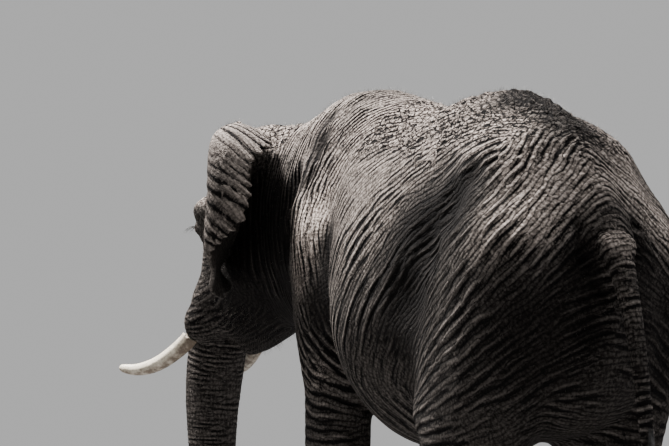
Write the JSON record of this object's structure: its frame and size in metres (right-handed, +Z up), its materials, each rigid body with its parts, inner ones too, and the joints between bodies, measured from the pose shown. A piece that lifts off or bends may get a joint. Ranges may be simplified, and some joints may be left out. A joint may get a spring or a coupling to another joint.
{
  "type": "african elephant",
  "caption": "Life-size African bush elephant bull standing with its head low, ears spread, tusks forward and trunk hanging in a curl.",
  "frame": {"origin": "middle of the bounding box's base, on the ground the soles stand on", "axes": "the elephant faces -Y, its left side is +X, +Z is up"},
  "size_m": [1.9052, 4.7968, 3.1839],
  "materials": {
    "skin": "dry wrinkled hide, matt",
    "ivory": "worn ivory, satin",
    "eye": "wet gloss",
    "toenail": "worn horn, matt",
    "hair": "coarse dark bristles"
  },
  "bodies": {
    "root": {"head": "skin", "jaw": "skin", "neck": "skin", "torso": "skin", "rump": "skin", "trunk_upper": "skin", "trunk_lower": "skin", "trunk_tip": "skin", "leg_fore_left": "skin", "leg_fore_right": "skin", "leg_hind_left": "skin", "leg_hind_right": "skin", "foot_fore_left": "skin", "foot_fore_right": "skin", "foot_hind_left": "skin", "foot_hind_right": "skin", "ear_left": "skin", "ear_right": "skin", "tail": "skin", "tail_tuft": "hair", "tusk_left": "ivory", "tusk_right": "ivory", "eye_left": "eye", "eye_right": "eye", "nail_fore_left_1": "toenail", "nail_fore_left_2": "toenail", "nail_fore_left_3": "toenail", "nail_fore_left_4": "toenail", "nail_fore_right_1": "toenail", "nail_fore_right_2": "toenail", "nail_fore_right_3": "toenail", "nail_fore_right_4": "toenail", "nail_hind_left_1": "toenail", "nail_hind_left_2": "toenail", "nail_hind_left_3": "toenail", "nail_hind_right_1": "toenail", "nail_hind_right_2": "toenail", "nail_hind_right_3": "toenail"}
  },
  "joints": []
}
